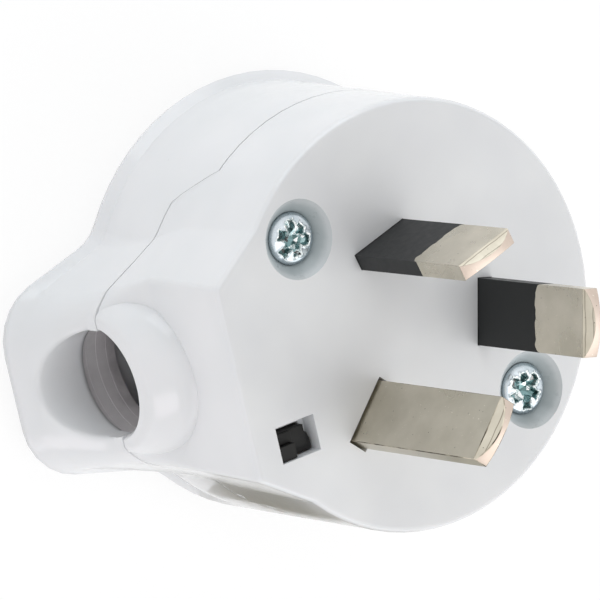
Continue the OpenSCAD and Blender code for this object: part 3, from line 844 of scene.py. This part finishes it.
def leg_blocks(shell):
    """Adds the blocks that fill the lower side of the window, round towards the pins."""
    for outline, depth in LEG_BLOCKS:
        low, high = (
            [shell.verts.new(leg_point(u, v, z)) for u, v in outline]
            for z in (FACE_Z - LEG_TOP_DEPTH, FACE_Z - mm(depth))
        )
        shell.faces.new(high)
        shell.faces.new(low[::-1])
        for i in range(len(low)):
            after = (i + 1) % len(low)
            shell.faces.new((low[i], low[after], high[after], high[i]))
    bmesh.ops.recalc_face_normals(shell, faces=shell.faces)


def clamp_leg():
    """The clamp bar, whose leg shows in the square window."""
    clamp = edit(merged_copy("cord_clamp", "clamp_bar"), leg_blocks)
    soften(clamp, 0.1)
    dress(clamp, "clamp", CLAMP)
    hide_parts("cord_clamp")


def plain_finish(slot_materials):
    """Gives CAD nodes that are shown as they are their material."""
    for node, material in slot_materials.items():
        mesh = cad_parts[node].data
        mesh.materials.clear()
        mesh.materials.append(material)


front_shell()
rear_shell()
pins()
cover_screw("left_cover_screw", "left_driven_screw", 0.3)
cover_screw("right_cover_screw", "right_driven_screw", 1.1)
clamp_leg()
plain_finish({
    "active_terminal": BRASS, "neutral_terminal": BRASS, "earth_terminal": BRASS,
    "active_terminal_screw": ZINC, "neutral_terminal_screw": ZINC, "earth_terminal_screw": ZINC,
    "left_insert": BRASS, "right_insert": BRASS, "clamp_screw": ZINC,
})


# Studio

# The photograph's camera: where it looks from, how it is rolled, and the point it looks at
CAMERA_AZIMUTH = -158.369
CAMERA_ELEVATION = 54.628
CAMERA_ROLL = 96.6
CAMERA_TARGET = Vector((mm(-8.425), mm(-3.131), mm(20.121)))
CAMERA_DISTANCE = mm(500)
CAMERA_LENS = 321.485
FLOOR_HALF = mm(1600)


def camera_axes():
    """The picture's own directions: right, up, and out towards the camera."""
    azimuth, elevation, roll = (
        math.radians(angle) for angle in (CAMERA_AZIMUTH, CAMERA_ELEVATION, CAMERA_ROLL)
    )
    towards = Vector((
        math.cos(elevation) * math.cos(azimuth),
        math.cos(elevation) * math.sin(azimuth),
        math.sin(elevation),
    ))
    level = (-towards).cross(Vector((0, 0, 1))).normalized()
    above = level.cross(-towards)
    right = math.cos(roll) * level + math.sin(roll) * above
    up = math.cos(roll) * above - math.sin(roll) * level
    return right, up, towards


def photo_camera():
    right, up, towards = camera_axes()
    data = bpy.data.cameras.new("photo_camera")
    data.lens = CAMERA_LENS
    data.sensor_width = 36
    data.clip_start = mm(100)
    data.clip_end = mm(10000)
    camera = new_object("photo_camera", data)
    turn = Matrix((right, up, towards)).transposed()
    camera.matrix_world = Matrix.Translation(CAMERA_TARGET + towards * CAMERA_DISTANCE) @ turn.to_4x4()
    bpy.context.scene.camera = camera


def either(tree, one, other):
    """1 where either of two light path or side outputs is 1."""
    return add(tree, "ShaderNodeMath", {"operation": "MAXIMUM"}, in0=one, in1=other)


def seen_directly(tree):
    """1 for what the camera sees, also by way of a metal or clear surface."""
    path = add(tree, "ShaderNodeLightPath").outputs
    return either(
        tree, either(tree, path["Is Camera Ray"], path["Is Glossy Ray"]), path["Is Transmission Ray"],
    )


def stage_piece(name, corners, faces, material):
    """A flat thing of the studio, which isn't part of the plug."""
    mesh = bpy.data.meshes.new(name)
    mesh.from_pydata(corners, [], faces)
    mesh.materials.append(material)
    new_object(name, mesh)


def seamless_paper():
    """White paper that shows white, with the plug's shadow kept faint."""
    material, tree = new_material("seamless_paper")
    fibre = add(tree, "ShaderNodeTexNoise", Vector=object_place(tree), Scale=2.0, Detail=3.0)
    tone = add(
        tree, "ShaderNodeValToRGB", Fac=fibre.outputs["Fac"],
        stops=((0.3, "#F0F0F0"), (0.7, "#F4F4F4")),
    )
    lit = add(tree, "ShaderNodeBsdfDiffuse", Color=tone)
    shade = add(tree, "ShaderNodeBsdfDiffuse", Color=paint("#6E6E6E"))
    glow = add(tree, "ShaderNodeEmission", Color=(1, 1, 1, 1), Strength=0.87)
    shown = add(tree, "ShaderNodeAddShader", in0=shade, in1=glow)
    mixed = add(tree, "ShaderNodeMixShader", in0=seen_directly(tree), in1=lit, in2=shown)
    add(tree, "ShaderNodeOutputMaterial", Surface=mixed)
    return material


def paper_floor():
    half = FLOOR_HALF
    corners = [(-half, -half, 0), (half, -half, 0), (half, half, 0), (-half, half, 0)]
    stage_piece("paper_floor", corners, [(0, 1, 2, 3)], seamless_paper())


def white_room():
    """A white room that lights the plug, brighter at its walls than at its ceiling."""
    world = bpy.data.worlds.new("white_room")
    bpy.context.scene.world = world
    world.use_nodes = True
    tree = world.node_tree
    tree.nodes.clear()
    direction = add(tree, "ShaderNodeTexCoord")
    height = add(tree, "ShaderNodeSeparateXYZ", Vector=direction.outputs["Generated"])
    room = add(
        tree, "ShaderNodeMath", {"operation": "MULTIPLY_ADD"}, in0=height.outputs["Z"], in1=-0.5, in2=0.96,
    )
    strength = add(
        tree, "ShaderNodeMix", {"data_type": "FLOAT"}, in0=seen_directly(tree), in2=room, in3=1.0,
    )
    sky = add(tree, "ShaderNodeBackground", Color=(1, 1, 1, 1), Strength=strength)
    add(tree, "ShaderNodeOutputWorld", Surface=sky)


def softbox(name, across, up, out, distance, width, height, power, tone="#FFFFFF"):
    """An area lamp placed by the picture's own directions, aimed at the plug."""
    right, above, towards = camera_axes()
    aim = (right * across + above * up + towards * out).normalized()
    data = bpy.data.lights.new(name, "AREA")
    data.shape = "RECTANGLE"
    data.size, data.size_y = mm(width), mm(height)
    data.energy = power
    data.color = paint(tone)[:3]
    lamp = new_object(name, data)
    lamp.location = CAMERA_TARGET + aim * mm(distance)
    lamp.rotation_mode = "QUATERNION"
    lamp.rotation_quaternion = aim.to_track_quat("Z", "Y")


def olive_card():
    """Matt olive card. The camera and the lamps' shadows pass through it, and so does what comes
    from behind, so that it only tints what its front faces."""
    material, tree = new_material("olive_card")
    nap = add(tree, "ShaderNodeTexNoise", Vector=object_place(tree), Scale=0.3, Detail=2.0)
    tone = add(
        tree, "ShaderNodeValToRGB", Fac=nap.outputs["Fac"],
        stops=((0.3, "#8F8C7C"), (0.7, "#A29F8D")),
    )
    path = add(tree, "ShaderNodeLightPath").outputs
    side = add(tree, "ShaderNodeNewGeometry").outputs
    clear_for = either(
        tree, either(tree, path["Is Camera Ray"], path["Is Shadow Ray"]), side["Backfacing"],
    )
    card = add(tree, "ShaderNodeBsdfDiffuse", Color=tone)
    clear = add(tree, "ShaderNodeBsdfTransparent")
    mixed = add(tree, "ShaderNodeMixShader", in0=clear_for, in1=card, in2=clear)
    add(tree, "ShaderNodeOutputMaterial", Surface=mixed)
    return material


# Two cards, by their corners in mm: one that lies by the plug and one that stands beside it
CARD_CORNERS = (
    (4, -30, 0.4), (34, -30, 0.4), (34, -21.4, 0.4), (4, -21.4, 0.4),
    (-5, -24, 25), (28, -24, 25), (28, -24, 9), (-5, -24, 9),
)


def table_shade():
    """The shade of a table that the photograph shows on the plug's underside."""
    corners = [tuple(mm(value) for value in corner) for corner in CARD_CORNERS]
    stage_piece("table_shade", corners, [(0, 1, 2, 3), (4, 5, 6, 7)], olive_card())


def studio_light():
    softbox("key_softbox", 0.0, 0.93, 0.35, 500, 420, 320, 0.7, "#F4FAFF")
    softbox("right_softbox", 0.8, -0.55, 0.3, 500, 600, 600, 1.2)
    softbox("left_softbox", -0.5, -0.75, 0.45, 700, 260, 260, 0.42, "#FFF2F9")


photo_camera()
paper_floor()
white_room()
table_shade()
studio_light()
bpy.context.scene.view_settings.view_transform = "Standard"
